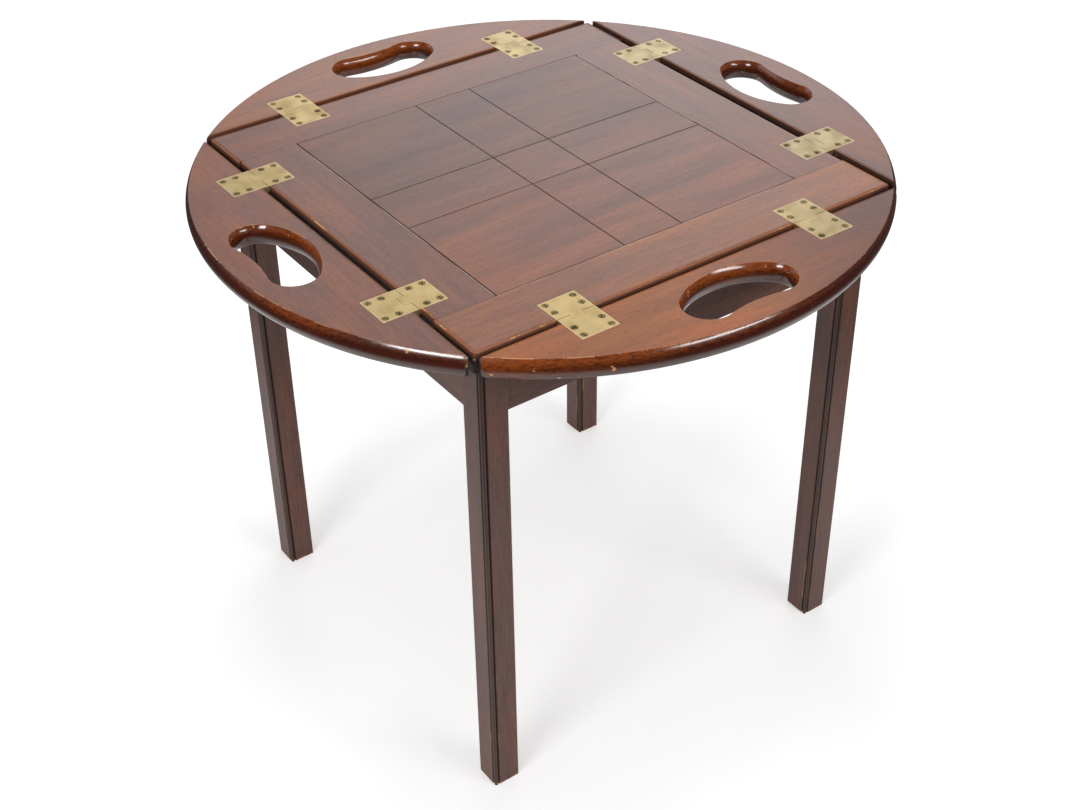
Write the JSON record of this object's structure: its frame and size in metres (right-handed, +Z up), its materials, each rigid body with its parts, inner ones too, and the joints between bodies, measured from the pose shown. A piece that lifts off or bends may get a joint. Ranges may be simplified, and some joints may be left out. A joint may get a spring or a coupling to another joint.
{
  "type": "butler's tray table",
  "caption": "Round butler's tray table: lift-off square tray with fold-up leaves on flush brass hinges, kidney hand holes, and a stand with beaded square legs.",
  "frame": {"origin": "on the floor below the middle of the tray", "axes": "+Z up; the tray's edges run along X and Y; -Y is the front leaf, -X the left leaf"},
  "size_m": [0.664, 0.664, 0.525],
  "materials": {
    "panel_wood": "satin lacquered mahogany, ribbon stripe",
    "frame_wood": "satin lacquered mahogany",
    "leaf_wood": "satin top, glossy rim, lacquered mahogany",
    "stand_wood": "dark stained mahogany, satin",
    "inner_wood": "unfinished",
    "hinge_brass": "satin, aged",
    "screw_brass": "aged, slotted",
    "screw_steel": "plain"
  },
  "bodies": {
    "stand": {"apron_back": "stand_wood", "apron_front": "stand_wood", "apron_left": "stand_wood", "apron_right": "stand_wood", "corner_block_back_left": "inner_wood", "corner_block_back_right": "inner_wood", "corner_block_front_left": "inner_wood", "corner_block_front_right": "inner_wood", "corner_block_screws": "screw_steel", "leg_back_left": "stand_wood", "leg_back_right": "stand_wood", "leg_front_left": "stand_wood", "leg_front_right": "stand_wood"},
    "tray": {"batten_screws": "screw_steel", "hinge_back_left_tray_half": "hinge_brass", "hinge_back_right_tray_half": "hinge_brass", "hinge_front_left_tray_half": "hinge_brass", "hinge_front_right_tray_half": "hinge_brass", "hinge_left_back_tray_half": "hinge_brass", "hinge_left_front_tray_half": "hinge_brass", "hinge_pins": "hinge_brass", "hinge_right_back_tray_half": "hinge_brass", "hinge_right_front_tray_half": "hinge_brass", "tray_batten_back": "inner_wood", "tray_batten_front": "inner_wood", "tray_hinge_screws": "screw_brass", "tray_panel": "panel_wood", "tray_rail_back": "frame_wood", "tray_rail_front": "frame_wood", "tray_stile_left": "frame_wood", "tray_stile_right": "frame_wood"},
    "leaf_front": {"hinge_front_left_leaf_half": "hinge_brass", "hinge_front_right_leaf_half": "hinge_brass", "leaf_front": "leaf_wood", "leaf_front_hinge_screws": "screw_brass"},
    "leaf_back": {"hinge_back_left_leaf_half": "hinge_brass", "hinge_back_right_leaf_half": "hinge_brass", "leaf_back": "leaf_wood", "leaf_back_hinge_screws": "screw_brass"},
    "leaf_left": {"hinge_left_back_leaf_half": "hinge_brass", "hinge_left_front_leaf_half": "hinge_brass", "leaf_left": "leaf_wood", "leaf_left_hinge_screws": "screw_brass"},
    "leaf_right": {"hinge_right_back_leaf_half": "hinge_brass", "hinge_right_front_leaf_half": "hinge_brass", "leaf_right": "leaf_wood", "leaf_right_hinge_screws": "screw_brass"}
  },
  "joints": [
    {"name": "tray_lift", "type": "slide", "parent": "stand", "child": "tray", "axis": [0, 0, 1], "range_m": [0, 0.15]},
    {"name": "leaf_right_fold", "type": "hinge", "parent": "tray", "child": "leaf_right", "pos_m": [0.233, 0, 0.5222], "axis": [0, -1, 0], "range_deg": [0, 90]},
    {"name": "leaf_back_fold", "type": "hinge", "parent": "tray", "child": "leaf_back", "pos_m": [0, 0.233, 0.5222], "axis": [1, 0, 0], "range_deg": [0, 90]},
    {"name": "leaf_left_fold", "type": "hinge", "parent": "tray", "child": "leaf_left", "pos_m": [-0.233, 0, 0.5222], "axis": [0, 1, 0], "range_deg": [0, 90]},
    {"name": "leaf_front_fold", "type": "hinge", "parent": "tray", "child": "leaf_front", "pos_m": [0, -0.233, 0.5222], "axis": [-1, 0, 0], "range_deg": [0, 90]}
  ]
}
